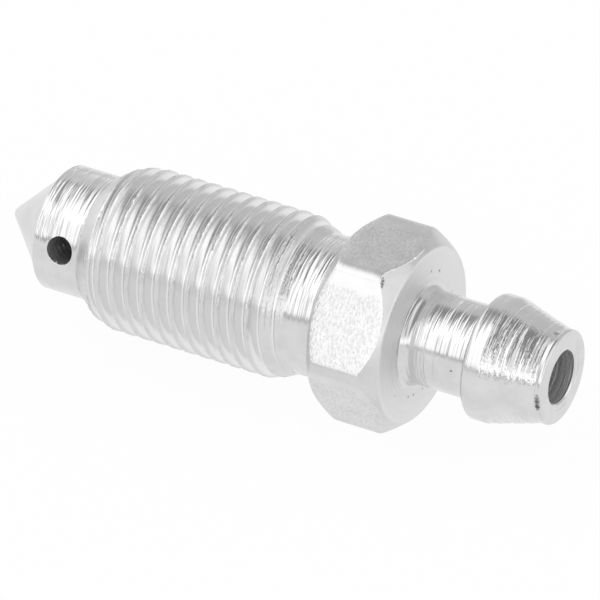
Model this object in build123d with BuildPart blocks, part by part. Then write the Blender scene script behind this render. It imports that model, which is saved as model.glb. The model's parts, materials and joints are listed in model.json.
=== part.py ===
from build123d import *
import os
from math import cos, radians, sin, sqrt, tan

# Bleeder screw of a hydraulic brake, turned in one piece from steel bar.
# Lengths are in millimetres. +X runs along the screw from the seat cone to the hose barb,
# +Z is up, and the screw lies on one flat of its hexagon.
# The origin is on the screw's axis, at the middle of the thread.

# Seat cone and nose
seat_cone_angle = 90.0
seat_cone_diameter = 7.0
seat_tip_radius = 0.5
nose_diameter = 7.5
nose_length = 3.0
nose_edge_chamfer = 0.1

# Thread, drawn as the cylinder over its crests
thread_diameter = 9.85
thread_length = 10.4
first_crest_diameter = 9.2
first_crest_length = 1.0
lead_cone_length = 1.1
runout_length = 1.6
relief_diameter = 8.46
relief_length = 1.6

# Hexagon
across_flats = 10.9
corner_radius = 0.9
hexagon_length = 5.25
inner_face_angle = 28.0
inner_face_inset = 0.1
inner_chamfer_angle = 42.0
outer_chamfer_angle = 50.0
outer_face_inset = 0.17

# Neck
neck_diameter = 5.58
neck_length = 4.35
neck_root_diameter = 6.0
neck_root_length = 0.45
neck_root_radius = 0.6

# Hose barb
barb_diameter = 7.5
barb_edge_radius = 0.25
barb_land_length = 1.0
barb_taper_length = 3.35
barb_end_diameter = 5.56
lip_diameter = 5.66
lip_length = 0.35
lip_edge_radius = 0.15

# Bore from the barb's end, and the cross hole that it feeds
bore_diameter = 3.2
bore_mouth_chamfer = 0.1
bore_overrun = 0.3
drill_point_angle = 118.0
cross_hole_diameter = 1.7
cross_hole_setback = 1.87
cross_hole_lift_angle = 13.5

# Stations along the axis
thread_start = -thread_length / 2
thread_end = thread_length / 2
first_crest = thread_start - first_crest_length
nose_end = first_crest - lead_cone_length
nose_front = nose_end - nose_length
relief_start = thread_end + runout_length
hexagon_start = relief_start + relief_length
hexagon_end = hexagon_start + hexagon_length
neck_root_end = hexagon_end + neck_root_length
barb_start = hexagon_end + neck_length
barb_land_end = barb_start + barb_land_length
barb_taper_end = barb_land_end + barb_taper_length
screw_end = barb_taper_end + lip_length

# The bore's full width runs a little past the cross hole, and its drill point lies beyond
cross_hole_x = nose_front + cross_hole_setback
bore_end = cross_hole_x - cross_hole_diameter / 2 - bore_overrun
drill_point_length = bore_diameter / 2 / tan(radians(drill_point_angle / 2))
cross_hole_direction = (0, -cos(radians(cross_hole_lift_angle)), sin(radians(cross_hole_lift_angle)))

# The seat cone ends in a ball that is tangent to it
seat_half_angle = radians(seat_cone_angle / 2)
seat_apex = nose_front - seat_cone_diameter / 2 / tan(seat_half_angle)
tip_centre = seat_apex + seat_tip_radius / sin(seat_half_angle)
tip_end = tip_centre - seat_tip_radius
tip_tangent_x = tip_centre - seat_tip_radius * sin(seat_half_angle)
tip_tangent_r = seat_tip_radius * cos(seat_half_angle)

# The collar that becomes the hexagon reaches to where its flats would meet in sharp corners
corner_reach = across_flats / sqrt(3)
inner_face_diameter = across_flats - 2 * inner_face_inset
outer_face_diameter = across_flats - 2 * outer_face_inset
inner_face_width = (inner_face_diameter - relief_diameter) / 2
inner_face_end = hexagon_start + inner_face_width * tan(radians(inner_face_angle))
inner_chamfer_width = corner_reach - inner_face_diameter / 2
inner_chamfer_end = inner_face_end + inner_chamfer_width * tan(radians(inner_chamfer_angle))
outer_chamfer_width = corner_reach - outer_face_diameter / 2
outer_chamfer_start = hexagon_end - outer_chamfer_width * tan(radians(outer_chamfer_angle))

# Outline of half the lengthwise section: each corner's station, radius and rounding
outline = [
    (nose_front, seat_cone_diameter / 2, 0),
    (nose_front, nose_diameter / 2 - nose_edge_chamfer, 0),
    (nose_front + nose_edge_chamfer, nose_diameter / 2, 0),
    (nose_end, nose_diameter / 2, 0),
    (first_crest, first_crest_diameter / 2, 0),
    (thread_start, thread_diameter / 2, 0),
    (thread_end, thread_diameter / 2, 0),
    (relief_start, relief_diameter / 2, 0),
    (hexagon_start, relief_diameter / 2, 0),
    (inner_face_end, inner_face_diameter / 2, 0),
    (inner_chamfer_end, corner_reach, 0),
    (outer_chamfer_start, corner_reach, 0),
    (hexagon_end, outer_face_diameter / 2, 0),
    (hexagon_end, neck_root_diameter / 2, 0),
    (neck_root_end, neck_diameter / 2, neck_root_radius),
    (barb_start, neck_diameter / 2, 0),
    (barb_start, barb_diameter / 2, barb_edge_radius),
    (barb_land_end, barb_diameter / 2, 0),
    (barb_taper_end, barb_end_diameter / 2, 0),
    (barb_taper_end, lip_diameter / 2, 0),
    (screw_end, lip_diameter / 2, lip_edge_radius),
]

with BuildPart() as bleeder_screw:
    # Turned body, with a plain collar where the hexagon will be
    with BuildSketch(Plane.XZ):
        with BuildLine():
            RadiusArc((tip_end, 0), (tip_tangent_x, tip_tangent_r), seat_tip_radius)
            FilletPolyline(
                (tip_tangent_x, tip_tangent_r),
                *[(x, r) for x, r, rounding in outline],
                (screw_end, 0),
                radius=[rounding for x, r, rounding in outline],
            )
            Line((screw_end, 0), (tip_end, 0))
        make_face()
    revolve(axis=Axis.X)

    # Six flats with rounded corners between them, cut into the collar
    with BuildSketch(Plane.YZ.offset(hexagon_start)) as waste:
        Circle(across_flats)
        RegularPolygon(across_flats / 2, side_count=6, major_radius=False, mode=Mode.SUBTRACT)
        fillet(waste.face().inner_wires()[0].vertices(), corner_radius)
    extrude(amount=hexagon_length, mode=Mode.SUBTRACT)

    # Blind bore from the barb's end, with a broken edge at its mouth
    with BuildSketch(Plane.XZ):
        with BuildLine():
            Polyline(
                (bore_end - drill_point_length, 0),
                (bore_end, bore_diameter / 2),
                (screw_end - bore_mouth_chamfer, bore_diameter / 2),
                (screw_end, bore_diameter / 2 + bore_mouth_chamfer),
                (screw_end, 0),
                close=True,
            )
        make_face()
    revolve(axis=Axis.X, mode=Mode.SUBTRACT)

    # Cross hole right through the nose, over the end of the bore
    with BuildSketch(Plane(origin=(cross_hole_x, 0, 0), x_dir=(1, 0, 0), z_dir=cross_hole_direction)):
        Circle(cross_hole_diameter / 2)
    extrude(amount=nose_diameter, both=True, mode=Mode.SUBTRACT)

bleeder_screw.part.label = "bleeder_screw"
os.makedirs("parts", exist_ok=True)
export_step(bleeder_screw.part, "parts/bleeder_screw.step")
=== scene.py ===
import json
from math import atan2, ceil, cos, pi, radians, sin, sqrt, tan

import bmesh
import bpy
import numpy as np
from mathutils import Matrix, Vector, noise


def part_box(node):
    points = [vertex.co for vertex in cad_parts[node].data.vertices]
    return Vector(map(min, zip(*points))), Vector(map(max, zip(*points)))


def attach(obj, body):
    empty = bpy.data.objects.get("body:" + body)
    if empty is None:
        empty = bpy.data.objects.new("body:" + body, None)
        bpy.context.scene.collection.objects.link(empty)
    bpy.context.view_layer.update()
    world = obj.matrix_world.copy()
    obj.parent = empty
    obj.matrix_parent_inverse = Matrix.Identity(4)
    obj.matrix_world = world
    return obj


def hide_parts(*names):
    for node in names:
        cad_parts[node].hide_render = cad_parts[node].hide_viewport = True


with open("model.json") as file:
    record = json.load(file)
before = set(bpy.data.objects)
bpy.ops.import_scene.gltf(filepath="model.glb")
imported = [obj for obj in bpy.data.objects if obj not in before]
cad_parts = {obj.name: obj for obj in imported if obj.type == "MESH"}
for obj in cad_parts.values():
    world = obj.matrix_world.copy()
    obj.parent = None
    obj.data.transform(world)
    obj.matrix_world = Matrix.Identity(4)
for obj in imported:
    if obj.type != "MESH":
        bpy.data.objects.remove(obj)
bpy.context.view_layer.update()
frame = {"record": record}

# Bleeder screw in bright zinc plating. Lengths are in millimetres up to the mesh, which is in metres.
# +X runs along the screw from the seat cone to the hose barb, +Z is up, and the origin is on the
# axis at the middle of the thread. The screw lies on one flat of its hexagon.
MM = 0.001
NODE = "bleeder_screw"

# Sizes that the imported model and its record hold
low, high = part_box(NODE)
mounts = {mount["name"]: mount for mount in frame["record"]["mounts"]}
seat_tip = low[0] / MM
screw_end = high[0] / MM
across_flats = (high[2] - low[2]) / MM
thread_radius = mounts["thread"]["dims"]["r_mm"]
thread_length = mounts["thread"]["dims"]["length_mm"]
nose_front = mounts["seat_cone"]["pos_m"][0] / MM
barb_radius = mounts["hose_barb"]["dims"]["r_mm"]
barb_land_length = mounts["hose_barb"]["dims"]["length_mm"]
bore_radius = mounts["bleed_bore"]["dims"]["r_mm"]
bore_length = mounts["bleed_bore"]["dims"]["length_mm"]
cross_hole_radius = mounts["cross_hole"]["dims"]["r_mm"]
cross_hole_x = mounts["cross_hole"]["pos_m"][0] / MM
cross_hole_axis = Vector(mounts["cross_hole"]["axis"])

# Seat cone and nose
seat_radius = 3.5
seat_half_angle = radians(45)
seat_tip_radius = 0.5
nose_radius = 3.75
nose_length = 3.0
nose_edge_chamfer = 0.1

# Thread: one right-hand start, cut into the turned outline
pitch = 1.0
crest_width = 0.235
thread_depth = 0.56
flank_angle = radians(30)
root_blend = 0.05
crest_blend = 0.02
lead_cone_length = 1.1
first_crest_radius = 4.6
runout_length = 1.6
relief_radius = 4.23
relief_length = 1.6

# The low uneven lip that cutting raised along both edges of the crest
crest_lip_height = 0.02
crest_lip_unevenness = 1.6
crest_lip_width = 0.04
near_lip_inset = 0.025
far_lip_inset = 0.02

# Where the crest's edge nearest the barb crosses the side that faces the camera
view_side = radians(143.66)
crest_edge = 0.77

# Hexagon. A strip along one side of each flat is smooth, and the rest is sandy.
corner_radius = 0.9
hexagon_length = 5.25
inner_face_angle = radians(28)
inner_face_radius = 5.35
inner_chamfer_angle = radians(42)
outer_chamfer_angle = radians(50)
outer_face_radius = 5.28
smooth_strip = 0.17

# Neck and hose barb, with a low ring on the end face of the lip
neck_length = 4.35
neck_radius = 2.79
neck_root_radius = 3.0
neck_root_length = 0.45
barb_end_radius = 2.78
lip_radius = 2.83
lip_length = 0.35
lip_ring_radius = 2.0
lip_ring_step = 0.02

# Bore, and the ridges that the drill left in the cross hole's wall
mouth_chamfer = 0.1
drill_point_angle = radians(118)
drill_ridge_spacing = 0.45
drill_ridge_height = 0.025

# Roundings of the outline's corners, from the softest to the sharpest
neck_root_rounding = 0.6
outer_face_rounding = 0.25
barb_shoulder_rounding = 0.25
lip_edge_rounding = 0.13
inside_corner_rounding = 0.06
hexagon_edge_rounding = 0.05
land_edge_rounding = 0.04
fine_edge_rounding = 0.03
sharp_edge_rounding = 0.02
ring_edge_rounding = 0.01

# Turning marks in the shape: their height and spacing, and the length over which they fade
relief_turning_height = 0.006
relief_turning_wave = 0.2
taper_turning_height = 0.05
taper_turning_wave = 0.24
turning_mark_fade = 0.12

# Stations along the axis
thread_start = -thread_length / 2
thread_end = thread_length / 2
nose_end = nose_front + nose_length
first_crest = nose_end + lead_cone_length
relief_start = thread_end + runout_length
hexagon_start = relief_start + relief_length
hexagon_end = hexagon_start + hexagon_length
neck_root_end = hexagon_end + neck_root_length
barb_start = hexagon_end + neck_length
barb_land_end = barb_start + barb_land_length
barb_taper_end = screw_end - lip_length
bore_end = screw_end - mouth_chamfer - bore_length

# Stations and radii of the turned outline that the thread is cut into
thread_envelope = (
    [nose_end, first_crest, thread_start, thread_end, relief_start],
    [nose_radius, first_crest_radius, thread_radius, thread_radius, relief_radius],
)

# The photograph's view
camera_azimuth = radians(29.386)
camera_elevation = radians(32.660)
camera_distance = 440.0
camera_focal_length = 456.8
camera_sensor = 36.0
aim_x = 5.611
aim_below_axis = 0.111

# Studio levels, where 1 is white
left_panel_level = 1.52
left_panel_top_level = 1.75
right_panel_level = 1.6
right_panel_top_level = 1.08
beside_panel_level = 0.76
end_panel_level = 1.3
back_level = 0.71
gap_level = 0.32
horizon_level = 0.62
ground_level = 0.9

# Studio directions: each pair says where along an axis a change begins and where it is complete
front_to_back_y = (-0.1, 0.42)
back_y = (0.42, 0.60)
horizon_z = (0.0, 0.2)
right_panel_x = (0.23, 0.36)
right_panel_y = (0.54, 0.46)
right_panel_z = (0.02, 0.06)
right_panel_top_z = (0.2, 0.32)
left_panel_edge = (0.856, 0.358, 0.374)
left_panel_blur = (0.02, -0.02)
left_panel_z = (0.10, 0.15)
left_panel_top_z = (0.5, 0.75)
beside_panel_x = (-0.50, -0.57)
beside_panel_z = (0.68, 0.56)
end_panel_x = (-0.75, -0.88)
ground_z = (0.0, -0.02)

# White table. To the camera and in reflections, the share floor_glow of it is plain white.
floor_half = 0.3
floor_colour = 0.93
floor_glow = 0.96

# How far each zone has lost its shine, how torn its metal is, and how deep that goes on a crest
worn_face = 1.0
worn_hexagon_edge = 0.35
worn_lead_cone = 0.45
worn_thread = 0.13
torn_crest = 1.0
torn_taper = 0.6
torn_depth = 0.03

# Turning marks in the plating: how far they are clear on the nose before they fade, and their
# strength in the holes
nose_marks_length = 1.3
nose_marks_fade = 0.4
turned_inside = 0.8

# Zones reach a skin past the surfaces that carry them, and end a margin short of their edges
skin = 0.02
margin = 0.1
inner_face_bright_length = 0.3
smooth_strip_blur = 0.02
groove_light_start = 0.04
groove_light_blur = 0.08

# Grain of the plating: waves per metre along X, Y and Z, and the share of each kind in the bump,
# which is as high as bump_height in metres
broad_rings = (3200, 160, 160)
fine_rings = (7500, 260, 260)
fine_rings_share = 0.7
rings_slant = 0.7
sand_grain = (6200, 4600, 4600)
sand_share = 0.2
torn_share = 0.35
bump_height = 0.0001
cloud_scale = 900.0
cloud_range = (0.3, 0.7)

# Base colour, as a share of white, of the clouds in the plating and of the zones that differ
plate_levels = (0.65, 0.71)
# Painted light: the thread's grooves and the hexagon's end face get this lighter base colour.
groove_painted_light_level = 0.82
# Painted shade: a darker base colour on the walls of the bore and, darker still, of the cross hole.
inside_shade_level = 0.5
cross_hole_shade_level = 0.36
# Painted highlight: the burrs' near-white base colour stands in for glints.
burr_glint_level = 0.95
# Painted shade in the hollows of the sandy flats: its share, and the blotch levels where it begins and is
# full.
hollow_shade_share = 0.88
hollow_shade_range = (0.56, 0.36)
mark_tint = (0.12, 0.10, 0.08)

# Roughness and metal share of the zones
plate_roughness = (0.18, 0.24)
turned_roughness = 0.1
worn_roughness = 0.55
inside_roughness = 0.4
mark_roughness = 0.6
inside_metallic = 0.5
burr_metallic = 0.2

# Columns of the mesh, as angles about +X from +Y, closer together in the hexagon's rounded corners
corner_centre = (across_flats / 2 - corner_radius) / cos(pi / 6)
flat_half_width = (across_flats / 2 - corner_radius) * tan(pi / 6)
corner_half_angle = pi / 6 - atan2(flat_half_width, across_flats / 2)
corner_columns = 8
flat_columns = 20
arc_step = radians(18)

# Rows of the mesh across the thread's groove, from its near edge over the root to its far edge
groove_rows = [0, 0.03, 0.10, 0.19, 0.28, 0.335, 0.383, 0.43, 0.49, 0.58, 0.67, 0.74]


def column_angles():
    """The angles of all columns, with the first one repeated after a full turn."""
    near_corner = np.linspace(-corner_half_angle, corner_half_angle, corner_columns + 1)[:-1]
    near_flat = np.linspace(corner_half_angle, pi / 3 - corner_half_angle, flat_columns + 1)[:-1]
    sector = np.concatenate([near_corner, near_flat])
    angles = np.concatenate([sector + k * pi / 3 for k in range(6)])
    return np.append(angles, angles[0] + 2 * pi)


def from_corner(angle):
    """The angle to the nearest corner of the hexagon."""
    return np.abs((angle + pi / 6) % (pi / 3) - pi / 6)


def flat_reach(angle):
    """How far the hexagon's flats are from the axis at an angle, as if its corners were sharp."""
    return across_flats / 2 / np.cos(pi / 6 - from_corner(angle))


def hexagon_radius(angle):
    """The radius of the hexagon with rounded corners at an angle."""
    off = from_corner(angle)
    rounded = corner_centre * np.cos(off) + np.sqrt(
        np.maximum(corner_radius**2 - (corner_centre * np.sin(off)) ** 2, 0)
    )
    return np.where(off < corner_half_angle, rounded, flat_reach(angle))


columns = column_angles()
hexagon_reach = hexagon_radius(columns)


def corner(x, r, rounding=0.0, step=0.5):
    """A corner of the outline, its rounding, and the spacing of the rows from there to the next one."""
    ones = np.ones_like(columns)
    return np.stack([x * ones, r * ones]), rounding, step


def unit(vector):
    """Vectors of length 1, column by column."""
    return vector / np.maximum(np.linalg.norm(vector, axis=0), 1e-9)


def rounded_corner(before, point, after, rounding):
    """Points of the arc that replaces a corner, column by column."""
    back = unit(before - point)
    ahead = unit(after - point)
    half = np.arccos(np.clip((back * ahead).sum(axis=0), -1, 1)) / 2
    centre = point + unit(back + ahead) * rounding / np.sin(half)
    start = point + back * rounding / np.tan(half) - centre
    end = point + ahead * rounding / np.tan(half) - centre
    sweep = pi - 2 * half
    count = max(2, ceil(float(sweep.max()) / arc_step))
    arc = []
    for k in range(count + 1):
        s = k / count
        arc.append(centre + (np.sin((1 - s) * sweep) * start + np.sin(s * sweep) * end) / np.sin(sweep))
    return arc


def outline_rows(corners):
    """Rows along an outline, with its corners rounded and its straight runs divided."""
    rows = []
    step_before = None
    for k, (point, rounding, step) in enumerate(corners):
        if rounding and 0 < k < len(corners) - 1:
            arc = rounded_corner(corners[k - 1][0], point, corners[k + 1][0], rounding)
        else:
            arc = [point]
        if rows:
            gap = arc[0] - rows[-1]
            count = max(1, ceil(float(np.linalg.norm(gap, axis=0).max()) / step_before))
            rows += [rows[-1] + gap * j / count for j in range(1, count)]
        rows += arc
        step_before = step
    return rows


def nose_rows():
    """Rows of the seat cone's ball, the cone and the nose."""
    ball_rows = 5
    tip_centre = seat_tip + seat_tip_radius
    rows = []
    for k in range(ball_rows):
        turn = seat_half_angle * k / ball_rows
        rows.append(corner(tip_centre - seat_tip_radius * cos(turn), seat_tip_radius * sin(turn))[0])
    tangent_x = tip_centre - seat_tip_radius * cos(seat_half_angle)
    tangent_r = seat_tip_radius * sin(seat_half_angle)
    chamfer_end = nose_front + nose_edge_chamfer
    return rows + outline_rows([
        corner(tangent_x, tangent_r, step=0.6),
        corner(nose_front, seat_radius, rounding=sharp_edge_rounding, step=0.2),
        corner(nose_front, nose_radius - nose_edge_chamfer, rounding=sharp_edge_rounding, step=0.1),
        corner(chamfer_end, nose_radius, rounding=sharp_edge_rounding, step=0.11),
        corner(nose_end, nose_radius),
    ])


def lip_noise(seed):
    """Noise that changes quickly round the screw, for the lips on the crest."""
    waves = 22
    return np.array([noise.noise(Vector((waves * cos(a), waves * sin(a), 3.1 * seed))) for a in columns])


def thread_rows():
    """Helical rows from the nose to the relief. Rows that pass an end stay on its ring."""
    valley = pitch - crest_width
    near_lip = valley + near_lip_inset
    far_lip = pitch - far_lip_inset
    places = groove_rows + [near_lip, near_lip + crest_lip_width, far_lip - crest_lip_width, far_lip]
    turn = (columns - view_side) / (2 * pi)
    spare_turns = 3
    rows = []
    for k in range(int(nose_end) - spare_turns, int(relief_start) + spare_turns):
        for place in places:
            from_edge = max(min(place, valley - place), 0.0)
            flank = from_edge / tan(flank_angle)
            depth = (flank + thread_depth - sqrt((flank - thread_depth) ** 2 + root_blend**2)) / 2
            groove = thread_radius - max(depth, 0.0)
            x = np.clip(k * pitch + crest_edge + place + turn * pitch, nose_end, relief_start)
            envelope = np.interp(x, *thread_envelope)
            r = (envelope + groove - np.sqrt((envelope - groove) ** 2 + crest_blend**2)) / 2
            if place in (near_lip, far_lip):
                r += crest_lip_height * (1 + crest_lip_unevenness * lip_noise(k + place))
            r = np.where((x <= nose_end) | (x >= relief_start), envelope, r)
            rows.append(np.stack([x, r]))
    return rows


def body_rows():
    """Rows from the relief over the hexagon, neck and barb, and down the bore to its drill point."""
    inner_face_end = hexagon_start + (inner_face_radius - relief_radius) * tan(inner_face_angle)
    inner_x = inner_face_end + (hexagon_reach - inner_face_radius) * tan(inner_chamfer_angle)
    outer_x = hexagon_end - (hexagon_reach - outer_face_radius) * tan(outer_chamfer_angle)
    ring_x = screw_end - lip_ring_step
    mouth_x = screw_end - mouth_chamfer
    drill_point = bore_end - bore_radius / tan(drill_point_angle / 2)
    return outline_rows([
        corner(relief_start, relief_radius, step=0.07),
        corner(hexagon_start, relief_radius, rounding=inside_corner_rounding, step=0.25),
        corner(inner_face_end, inner_face_radius, rounding=hexagon_edge_rounding, step=0.1),
        corner(inner_x, hexagon_reach, rounding=hexagon_edge_rounding, step=0.45),
        corner(outer_x, hexagon_reach, rounding=hexagon_edge_rounding, step=0.2),
        corner(hexagon_end, outer_face_radius, rounding=outer_face_rounding, step=0.3),
        corner(hexagon_end, neck_root_radius, rounding=hexagon_edge_rounding, step=0.1),
        corner(neck_root_end, neck_radius, rounding=neck_root_rounding, step=0.14),
        corner(barb_start, neck_radius, rounding=inside_corner_rounding, step=0.2),
        corner(barb_start, barb_radius, rounding=barb_shoulder_rounding, step=0.1),
        corner(barb_land_end, barb_radius, rounding=land_edge_rounding, step=0.06),
        corner(barb_taper_end, barb_end_radius, rounding=fine_edge_rounding, step=0.05),
        corner(barb_taper_end, lip_radius, rounding=sharp_edge_rounding, step=0.1),
        corner(screw_end, lip_radius, rounding=lip_edge_rounding, step=0.25),
        corner(screw_end, lip_ring_radius + lip_ring_step, rounding=ring_edge_rounding, step=0.1),
        corner(ring_x, lip_ring_radius, rounding=ring_edge_rounding, step=0.1),
        corner(ring_x, bore_radius + mouth_chamfer, rounding=fine_edge_rounding, step=0.05),
        corner(mouth_x, bore_radius, step=1.5),
        corner(bore_end, bore_radius, step=0.4),
        corner(drill_point, 0.0),
    ])


def turned_rings(x, wave, seed):
    """Noise that changes quickly along the screw and slowly round it, as turning marks do."""
    slow = 0.25
    places = [Vector((px / wave + seed, slow * cos(pa), slow * sin(pa))) for px, pa in zip(x, columns)]
    return np.array([noise.noise(place) for place in places])


def add_turning_marks(rows, first, last, height, wave, seed):
    """Moves the rows between two stations in and out a little, fading at both ends."""
    for row in rows:
        x = row[0]
        fade = np.clip(np.minimum(x - first, last - x) / turning_mark_fade, 0, 1)
        outside = row[1] > bore_radius + mouth_chamfer
        if fade.max() > 0:
            row[1] += height * fade * outside * turned_rings(x, wave, seed)


def revolved_mesh(name, rows):
    """A mesh through rows of stations and radii, one point for each column."""
    x = np.stack([row[0] for row in rows])
    r = np.stack([row[1] for row in rows])
    points = np.stack([x, r * np.cos(columns), r * np.sin(columns)], axis=-1) * MM
    row_count, column_count = x.shape
    grid = np.arange(row_count * column_count).reshape(row_count, column_count)
    faces = np.stack([grid[:-1, :-1], grid[:-1, 1:], grid[1:, 1:], grid[1:, :-1]], axis=-1)
    mesh = bpy.data.meshes.new(name)
    mesh.from_pydata(points.reshape(-1, 3).tolist(), [], faces.reshape(-1, 4).tolist())
    return mesh


def weld(mesh, distance):
    """Joins the seam and the rows that lie on each other, and turns every face outwards."""
    welded = bmesh.new()
    welded.from_mesh(mesh)
    bmesh.ops.remove_doubles(welded, verts=welded.verts, dist=distance)
    bmesh.ops.recalc_face_normals(welded, faces=welded.faces)
    welded.to_mesh(mesh)
    welded.free()


def smooth(mesh):
    """Shades all faces smoothly."""
    mesh.polygons.foreach_set("use_smooth", [True] * len(mesh.polygons))


def link(name, mesh):
    """A new object in the scene, at the origin."""
    piece = bpy.data.objects.new(name, mesh)
    bpy.context.scene.collection.objects.link(piece)
    return piece


def tube_mesh(name, centres, radii, sides, side_axes):
    """A closed tube through a line of centres, with a radius and two side directions for each."""
    tube = bmesh.new()
    rings = []
    for centre, radius, (side, other) in zip(centres, radii, side_axes):
        spokes = [side * cos(2 * pi * j / sides) + other * sin(2 * pi * j / sides) for j in range(sides)]
        rings.append([tube.verts.new((centre + spoke * radius) * MM) for spoke in spokes])
    for a, b in zip(rings, rings[1:]):
        for j in range(sides):
            tube.faces.new((a[j], a[(j + 1) % sides], b[(j + 1) % sides], b[j]))
    tube.faces.new(rings[0])
    tube.faces.new(rings[-1])
    bmesh.ops.recalc_face_normals(tube, faces=tube.faces)
    mesh = bpy.data.meshes.new(name)
    tube.to_mesh(mesh)
    tube.free()
    return mesh


def cross_hole_frame():
    """Two directions square to the cross hole, the first of them close to the screw's axis."""
    side = (Vector((1, 0, 0)) - cross_hole_axis * cross_hole_axis.x).normalized()
    return side, cross_hole_axis.cross(side)


def cross_hole_cutter():
    """A drill's path through the nose, with the faint ridges that it leaves in the wall."""
    name = "cross_hole_cutter"
    half_length = nose_radius + 1.0
    row_count = 60
    sides = 64
    places = [-half_length + 2 * half_length * k / row_count for k in range(row_count + 1)]
    centres = [Vector((cross_hole_x, 0, 0)) + cross_hole_axis * along for along in places]
    turns = [2 * pi * along / drill_ridge_spacing for along in places]
    radii = [cross_hole_radius + drill_ridge_height * cos(turn) for turn in turns]
    return link(name, tube_mesh(name, centres, radii, sides, [cross_hole_frame()] * len(places)))


def cut(piece, cutter):
    """Takes the cutter out of the piece, and removes the cutter."""
    modifier = piece.modifiers.new("cut", "BOOLEAN")
    modifier.object = cutter
    modifier.operation = "DIFFERENCE"
    modifier.solver = "EXACT"
    depsgraph = bpy.context.evaluated_depsgraph_get()
    mesh = bpy.data.meshes.new_from_object(piece.evaluated_get(depsgraph))
    piece.modifiers.clear()
    piece.data = mesh
    bpy.data.objects.remove(cutter, do_unlink=True)


def make_screw():
    """The whole turned body as one mesh, from the tip round to the bottom of the bore."""
    name = "bleeder_screw_turned"
    weld_distance = 0.0008
    body = body_rows()
    relief = (relief_start + margin, hexagon_start - margin / 2)
    taper = (barb_land_end, barb_taper_end - margin / 2)
    add_turning_marks(body, *relief, relief_turning_height, relief_turning_wave, seed=3)
    add_turning_marks(body, *taper, taper_turning_height, taper_turning_wave, seed=11)
    screw = link(name, revolved_mesh(name, nose_rows() + thread_rows() + body))
    weld(screw.data, weld_distance * MM)
    cut(screw, cross_hole_cutter())
    smooth(screw.data)
    screw.data.set_sharp_from_angle(angle=radians(50))
    return screw


def make_burr(name, centres, radii, side_axes):
    """A thin ragged thread of metal along an edge."""
    sides = 6
    burr = link(name, tube_mesh(name, centres, radii, sides, side_axes))
    smooth(burr.data)
    return burr


def make_cross_hole_burr():
    """The ragged edge that the drill pushed up along the lower part of the cross hole's mouth."""
    side, other = cross_hole_frame()
    first = radians(215)
    last = radians(292)
    count = 40
    outside_hole = 0.02
    thin = 0.008
    swell = 0.35
    gap = 0.08
    centres = []
    radii = []
    axes = []
    for k in range(count + 1):
        angle = first + (last - first) * k / count
        spoke = side * cos(angle) + other * sin(angle)
        across = spoke * (cross_hole_radius + outside_hole)
        off_axis = Vector((cross_hole_x, 0, 0)) + across
        off_axis.x = 0
        lift = sqrt(nose_radius**2 - off_axis.length_squared + off_axis.dot(cross_hole_axis) ** 2)
        ragged = max(0.0, noise.noise(Vector((k * 0.47, 4.2, 1.0))) - gap)
        centres.append(Vector((cross_hole_x, 0, 0)) + across + cross_hole_axis * lift)
        radii.append(thin + swell * ragged * sin(pi * k / count))
        axes.append((spoke, cross_hole_axis))
    return make_burr("cross_hole_burr", centres, radii, axes)


def make_hexagon_burr():
    """The burr that the chamfer left along one edge of the upper flat, painted bright as a glint."""
    first = radians(84)
    last = radians(124)
    count = 60
    above_edge = 0.005
    thin = 0.02
    swell = 0.15
    centres = []
    radii = []
    axes = []
    for k in range(count + 1):
        angle = first + (last - first) * k / count
        reach = float(hexagon_radius(np.array(angle)))
        x = hexagon_end - (reach - outer_face_radius) * tan(outer_chamfer_angle)
        outward = Vector((0, cos(angle), sin(angle)))
        ragged = max(0.0, noise.noise(Vector((k * 0.31, 7.7, 2.0))))
        centres.append(Vector((x, 0, 0)) + outward * (reach + above_edge))
        radii.append(thin + swell * ragged * sin(pi * k / count))
        axes.append((Vector((1, 0, 0)), outward))
    return make_burr("hexagon_burr", centres, radii, axes)


class Nodes:
    """A node tree, with short ways to add and join its nodes."""

    def __init__(self, tree):
        self.tree = tree
        tree.nodes.clear()

    def add(self, kind, settings=None, **inputs):
        """A new node. Its inputs are given by name, or by number as i0, i1 and so on."""
        node = self.tree.nodes.new(kind)
        for key, value in (settings or {}).items():
            setattr(node, key, value)
        for key, value in inputs.items():
            self.put(node, key, value)
        return node

    def put(self, node, key, value):
        """Sets an input to a value, or links it where the value is another node's output."""
        socket = node.inputs[int(key[1:])] if key[0] == "i" and key[1:].isdigit() else node.inputs[key]
        if isinstance(value, bpy.types.NodeSocket):
            self.tree.links.new(value, socket)
        else:
            socket.default_value = value

    def math(self, operation, a, b=0.0):
        return self.add("ShaderNodeMath", {"operation": operation}, i0=a, i1=b).outputs[0]

    def product(self, *values):
        total = values[0]
        for value in values[1:]:
            total = self.math("MULTIPLY", total, value)
        return total

    def ramp(self, value, begin, end, out_begin=0.0, out_end=1.0):
        """A smooth change from one level to another while the value goes from begin to end."""
        settings = {"interpolation_type": "SMOOTHSTEP"}
        node = self.add("ShaderNodeMapRange", settings, i0=value, i1=begin, i2=end, i3=out_begin, i4=out_end)
        return node.outputs[0]

    def vector(self, operation, a, b):
        node = self.add("ShaderNodeVectorMath", {"operation": operation}, i0=a, i1=b)
        return node.outputs["Value"]

    def mix(self, factor, a, b):
        """a where factor is 0 and b where it is 1."""
        node = self.add("ShaderNodeMix", {"data_type": "FLOAT"}, i0=factor, i2=a, i3=b)
        return node.outputs[0]

    def noise(self, place, scale, detail=2.0):
        return self.add("ShaderNodeTexNoise", Vector=place, Scale=scale, Detail=detail).outputs["Fac"]

    def stretched(self, place, scale):
        return self.add("ShaderNodeMapping", Vector=place, Scale=scale).outputs[0]

    def grey(self, level):
        return self.add("ShaderNodeCombineColor", Red=level, Green=level, Blue=level).outputs[0]

    def attribute(self, name):
        return self.add("ShaderNodeAttribute", {"attribute_name": name}).outputs["Fac"]

    def finish(self, output_kind, shader):
        output = self.add(output_kind)
        self.tree.links.new(shader.outputs[0], output.inputs[0])


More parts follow.
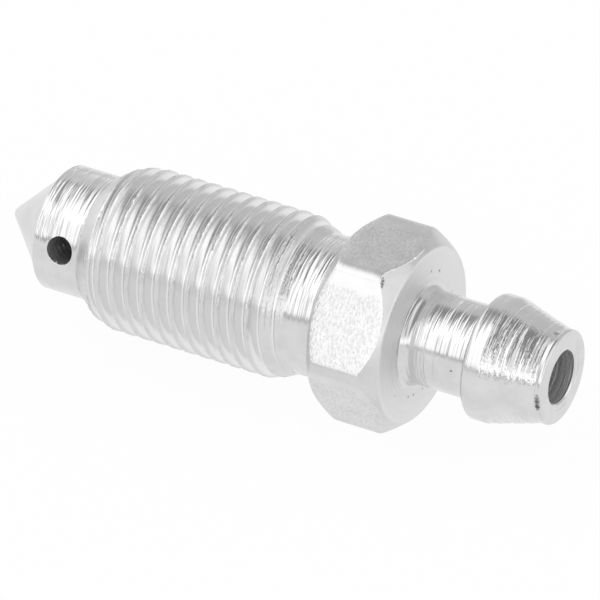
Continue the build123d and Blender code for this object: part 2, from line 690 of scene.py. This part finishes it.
def turned_share(x):
    """How strong the turning marks are at a station."""
    stations = [
        (nose_front, 0.1),
        (nose_front + margin / 2, 1.0),
        (nose_front + nose_marks_length, 1.0),
        (nose_front + nose_marks_length + nose_marks_fade, 0.35),
        (nose_end, 0.3),
        (relief_start, 0.3),
        (relief_start + margin, 0.6),
        (hexagon_start, 0.6),
        (hexagon_start + margin, 0.1),
        (hexagon_end - margin, 0.1),
        (hexagon_end, 0.5),
        (neck_root_end, 0.4),
        (barb_start, 0.4),
        (barb_land_end, 0.2),
        (barb_land_end + margin, 1.0),
        (barb_taper_end, 1.0),
        (screw_end, 0.3),
    ]
    return np.interp(x, [station for station, share in stations], [share for station, share in stations])


def add_attributes(mesh, burr):
    """Marks the sandy flats, turning marks, worn and torn zones, the grooves and end face that carry painted
    light, the holes' walls that carry painted shade, and burrs.
    """
    place = np.empty(len(mesh.vertices) * 3)
    mesh.vertices.foreach_get("co", place)
    place = place.reshape(-1, 3) / MM
    x = place[:, 0]
    r = np.hypot(place[:, 1], place[:, 2])
    angle = np.arctan2(place[:, 2], place[:, 1])

    from_hole = place - np.array([cross_hole_x, 0, 0])
    along_hole = from_hole @ np.array(cross_hole_axis)
    hole_distance = np.sqrt(np.maximum((from_hole**2).sum(axis=1) - along_hole**2, 0))
    cross_hole_reach = cross_hole_radius + drill_ridge_height + skin
    in_cross_hole = (hole_distance < cross_hole_reach) & (r < nose_radius - skin)
    in_bore = (r < bore_radius + skin) & (x > bore_end - bore_radius)
    inside = in_cross_hole | in_bore
    outside = r > bore_radius + mouth_chamfer

    hexagon_zone_start = hexagon_start + inner_face_bright_length
    on_hexagon = (x > hexagon_zone_start) & (x < hexagon_end + skin) & (r > relief_radius)
    on_flat = on_hexagon & (r > flat_reach(angle) - skin) & (from_corner(angle) > 0.9 * corner_half_angle)
    across = (angle % (pi / 3)) / (pi / 3)
    on_face = (np.abs(x - hexagon_end) < skin) & (r > neck_root_radius + hexagon_edge_rounding)

    envelope = np.interp(x, *thread_envelope)
    on_thread = (x > nose_end + margin) & (x < relief_start - margin) & outside
    on_lead_cone = on_thread & (x < first_crest - margin)
    on_crest = on_thread & ~on_lead_cone & (r > envelope - torn_depth)
    on_taper = (x > barb_land_end + margin / 2) & (x < barb_taper_end - margin) & outside

    below_crest = (envelope - r - groove_light_start) / groove_light_blur
    worn_zones = [on_face, on_hexagon & ~on_flat, on_lead_cone, on_thread]
    shares = {
        "sandy": on_flat * np.clip((across - smooth_strip) / smooth_strip_blur, 0, 1),
        "turned": np.where(inside, turned_inside, turned_share(x)) * ~on_flat,
        "worn": np.select(worn_zones, [worn_face, worn_hexagon_edge, worn_lead_cone, worn_thread], 0.0),
        # The groove share marks painted light: a lighter base colour in the thread's grooves and on the end
        # face.
        "groove": np.maximum(on_thread * np.clip(below_crest, 0, 1), on_face),
        "torn": np.select([on_crest, on_taper], [torn_crest, torn_taper], 0.0),
        # The inside and cross_hole shares also carry painted shade in the base colour.
        "inside": inside,
        "cross_hole": in_cross_hole,
    }
    shares = {name: values * (not burr) for name, values in shares.items()}
    shares["burr"] = np.full(len(x), float(burr))
    for name, values in shares.items():
        layer = mesh.attributes.new(name, "FLOAT", "POINT")
        layer.data.foreach_set("value", values.astype(float))


def on_surface(x, r, up):
    """A place on the screw, with up as the angle in degrees from the side that faces the camera."""
    angle = view_side - radians(up)
    return (x * MM, r * cos(angle) * MM, r * sin(angle) * MM)


# Stains, pits and nicks: place on the surface, radius and darkness
marks = [
    (on_surface(17.0, neck_radius, -32), 0.10, 0.75),
    (on_surface(screw_end - 0.17, lip_radius, -30), 0.13, 0.5),
    (on_surface(screw_end - 0.16, lip_radius, -34), 0.19, 0.7),
    (on_surface(screw_end - 0.15, lip_radius, -37.5), 0.22, 0.85),
    (on_surface(screw_end - 0.15, lip_radius, -41), 0.19, 0.75),
    (on_surface(screw_end - 0.14, lip_radius, -45), 0.22, 0.9),
    (on_surface(screw_end - 0.13, lip_radius, -49), 0.13, 0.6),
    (on_surface(barb_taper_end - 0.1, lip_radius, 55), 0.24, 0.5),
    (on_surface(hexagon_end, 3.93, 68), 0.11, 0.6),
    (on_surface(hexagon_end, 3.83, 84), 0.12, 0.7),
    (on_surface(hexagon_end, 3.65, 127), 0.10, 0.4),
    (on_surface(hexagon_end, 3.69, -127), 0.10, 0.5),
    (on_surface(hexagon_end, 3.63, -110), 0.10, 0.6),
    (on_surface(hexagon_end, 3.68, -99), 0.10, 0.6),
    (on_surface(hexagon_end, 3.99, -72), 0.09, 0.5),
    (on_surface(hexagon_end - 0.90, 6.15, 23.5), 0.15, 0.8),
    (on_surface(hexagon_end - 0.87, 6.10, 22), 0.17, 0.85),
    (on_surface(hexagon_end - 0.84, 6.06, 20.5), 0.16, 0.8),
    (on_surface(hexagon_end - 0.81, 6.01, 19), 0.13, 0.7),
    (on_surface(nose_front + 2.2, nose_radius, 73), 0.10, 0.6),
    (on_surface(nose_front + 2.4, nose_radius, 75), 0.10, 0.6),
]


def mark_share(nodes, place):
    """0 on clean plating and towards 1 on the marks, with ragged edges."""
    ragged_scale = 9000.0
    ragged_height = 0.03 * MM
    dark_core = 0.3
    ragged = nodes.ramp(nodes.noise(place, ragged_scale, 3.0), 0.3, 0.7, -ragged_height, ragged_height)
    total = 0.0
    for centre, radius, darkness in marks:
        distance = nodes.math("ADD", nodes.vector("DISTANCE", place, centre), ragged)
        share = nodes.ramp(distance, radius * MM, dark_core * radius * MM, 0.0, darkness)
        total = nodes.math("MAXIMUM", share, total)
    return total


def ring_noise(nodes, place, scale):
    """Turning marks about 0, which run round the screw on its cylinders as well as on its faces."""
    from_axis = nodes.add("ShaderNodeSeparateXYZ", Vector=place).outputs
    squares = [nodes.math("POWER", from_axis[axis], 2.0) for axis in ("Y", "Z")]
    radius = nodes.math("SQRT", nodes.math("ADD", *squares))
    slant = nodes.math("MULTIPLY", radius, rings_slant)
    along = nodes.math("ADD", from_axis["X"], slant)
    ring_place = nodes.add("ShaderNodeCombineXYZ", X=along, Y=from_axis["Y"], Z=from_axis["Z"]).outputs[0]
    return nodes.math("SUBTRACT", nodes.noise(nodes.stretched(ring_place, scale), 1.0), 0.5)


def zinc_material():
    """Bright zinc plating, with a grain for each zone, painted shade in the holes and the sandy hollows,
    painted light in the grooves, stains, and burrs painted pale as glints.
    """
    material = bpy.data.materials.new("zinc_plated_steel")
    material.use_nodes = True
    nodes = Nodes(material.node_tree)
    shader = nodes.add("ShaderNodeBsdfPrincipled")
    place = nodes.add("ShaderNodeTexCoord").outputs["Object"]
    turned = nodes.attribute("turned")
    sandy = nodes.attribute("sandy")
    inside = nodes.attribute("inside")
    burr = nodes.attribute("burr")

    # Turning marks, and the slanting blotches of the sandy flats and torn zones
    fine = nodes.math("MULTIPLY", ring_noise(nodes, place, fine_rings), fine_rings_share)
    rings = nodes.math("ADD", ring_noise(nodes, place, broad_rings), fine)
    blotches = nodes.noise(nodes.stretched(place, sand_grain), 1.0, 3.0)
    torn = nodes.math("MULTIPLY", nodes.attribute("torn"), torn_share)
    rough_share = nodes.math("ADD", nodes.math("MULTIPLY", sandy, sand_share), torn)
    sand = nodes.math("MULTIPLY", nodes.math("SUBTRACT", blotches, 0.5), rough_share)
    height = nodes.math("ADD", nodes.math("MULTIPLY", rings, turned), sand)
    bump = nodes.add("ShaderNodeBump", Strength=1.0, Distance=bump_height, Height=height).outputs[0]
    nodes.put(shader, "Normal", bump)

    # The plating is slightly cloudy and darker on the marks, and painted shade darkens the hollows of the
    # sandy flats
    cloud = nodes.noise(place, cloud_scale, 4.0)
    plate = nodes.ramp(cloud, *cloud_range, *plate_levels)
    hollow_shade = nodes.math("MULTIPLY", nodes.ramp(blotches, *hollow_shade_range), sandy)
    plate = nodes.math("MULTIPLY", plate, nodes.mix(hollow_shade, 1.0, hollow_shade_share))
    # Painted light: a lighter base colour in the thread's grooves and on the hexagon's end face.
    plate = nodes.mix(nodes.attribute("groove"), plate, groove_painted_light_level)
    # Painted shade: the bore's and the cross hole's walls get a darker base colour.
    plate = nodes.mix(inside, plate, inside_shade_level)
    plate = nodes.mix(nodes.attribute("cross_hole"), plate, cross_hole_shade_level)
    # Painted highlight: burrs get a near-white base colour as glints.
    plate = nodes.mix(burr, plate, burr_glint_level)
    mark = mark_share(nodes, place)
    red, green, blue = [nodes.math("MULTIPLY", plate, nodes.mix(mark, 1.0, tint)) for tint in mark_tint]
    colour = nodes.add("ShaderNodeCombineColor", Red=red, Green=green, Blue=blue).outputs[0]
    nodes.put(shader, "Base Color", colour)

    rough = nodes.ramp(cloud, *cloud_range, *plate_roughness)
    rough = nodes.mix(nodes.math("MULTIPLY", turned, turned), rough, turned_roughness)
    rough = nodes.mix(nodes.attribute("worn"), rough, worn_roughness)
    rough = nodes.mix(nodes.math("MAXIMUM", inside, burr), rough, inside_roughness)
    nodes.put(shader, "Roughness", nodes.mix(mark, rough, mark_roughness))
    nodes.put(shader, "Metallic", nodes.mix(burr, nodes.mix(inside, 1.0, inside_metallic), burr_metallic))
    nodes.finish("ShaderNodeOutputMaterial", shader)
    return material


def floor_material():
    """A white table that shows the screw's shadow."""
    material = bpy.data.materials.new("white_table")
    material.use_nodes = True
    nodes = Nodes(material.node_tree)
    diffuse = nodes.add("ShaderNodeBsdfDiffuse", Color=(floor_colour, floor_colour, floor_colour, 1.0))
    glow = nodes.add("ShaderNodeEmission", Color=(1.0, 1.0, 1.0, 1.0), Strength=1.0)
    path = nodes.add("ShaderNodeLightPath")
    seen = nodes.math("MAXIMUM", path.outputs["Is Camera Ray"], path.outputs["Is Glossy Ray"])
    seen = nodes.math("MAXIMUM", seen, path.outputs["Is Transmission Ray"])
    share = nodes.math("MULTIPLY", seen, floor_glow)
    mixed = nodes.add("ShaderNodeMixShader", i0=share, i1=diffuse.outputs[0], i2=glow.outputs[0])
    nodes.finish("ShaderNodeOutputMaterial", mixed)
    return material


def make_floor():
    """The table under the hexagon's lowest flat."""
    signs = [(-1, -1), (1, -1), (1, 1), (-1, 1)]
    corners = [(x * floor_half, y * floor_half, low[2]) for x, y in signs]
    mesh = bpy.data.meshes.new("table")
    mesh.from_pydata(corners, [], [(0, 1, 2, 3)])
    mesh.materials.append(floor_material())
    link("table", mesh)


def make_studio():
    """Light panels to the left and to the right, a grey back, and a dark gap overhead."""
    world = bpy.data.worlds.new("studio")
    world.use_nodes = True
    bpy.context.scene.world = world
    nodes = Nodes(world.node_tree)
    direction = nodes.add("ShaderNodeTexCoord").outputs["Generated"]
    x, y, z = nodes.add("ShaderNodeSeparateXYZ", Vector=direction).outputs

    back = nodes.ramp(y, *back_y, gap_level, back_level)
    front = nodes.ramp(z, *horizon_z, horizon_level, gap_level)
    level = nodes.mix(nodes.ramp(y, *front_to_back_y), front, back)

    panels = (nodes.ramp(x, *right_panel_x), nodes.ramp(y, *right_panel_y), nodes.ramp(z, *right_panel_z))
    panel = nodes.ramp(z, *right_panel_top_z, right_panel_level, right_panel_top_level)
    level = nodes.mix(nodes.product(*panels), level, panel)

    past_edge = nodes.ramp(nodes.vector("DOT_PRODUCT", direction, left_panel_edge), *left_panel_blur)
    left = nodes.product(past_edge, nodes.ramp(z, *left_panel_z))
    panel = nodes.ramp(z, *left_panel_top_z, left_panel_level, left_panel_top_level)
    beside = nodes.product(nodes.ramp(x, *beside_panel_x), nodes.ramp(z, *beside_panel_z))
    level = nodes.mix(left, level, nodes.mix(beside, panel, beside_panel_level))

    level = nodes.mix(nodes.ramp(x, *end_panel_x), level, end_panel_level)
    level = nodes.mix(nodes.ramp(z, *ground_z), level, ground_level)
    background = nodes.add("ShaderNodeBackground", Color=nodes.grey(level), Strength=1.0)
    nodes.finish("ShaderNodeOutputWorld", background)


def make_camera():
    """The camera at the photograph's angle, aimed a little below the screw's axis."""
    back = Vector((
        sin(camera_azimuth) * cos(camera_elevation),
        -cos(camera_azimuth) * cos(camera_elevation),
        sin(camera_elevation),
    ))
    across = Vector((0, back.y, back.z)).normalized()
    down = Vector((0, -across.z, across.y))
    target = Vector((aim_x, 0, 0)) + down * aim_below_axis
    camera = bpy.data.objects.new("camera", bpy.data.cameras.new("camera"))
    bpy.context.scene.collection.objects.link(camera)
    camera.data.sensor_width = camera_sensor
    camera.data.lens = camera_focal_length
    camera.location = (target + back * camera_distance) * MM
    camera.rotation_euler = back.to_track_quat("Z", "Y").to_euler()
    camera.data.clip_start = 0.01
    camera.data.clip_end = 10.0
    bpy.context.scene.camera = camera


bpy.context.scene.view_settings.view_transform = "Standard"
zinc = zinc_material()
for piece, burr in ((make_screw(), False), (make_cross_hole_burr(), True), (make_hexagon_burr(), True)):
    add_attributes(piece.data, burr)
    piece.data.materials.clear()
    piece.data.materials.append(zinc)
    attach(piece, "root")
    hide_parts(NODE)
make_floor()
make_studio()
make_camera()
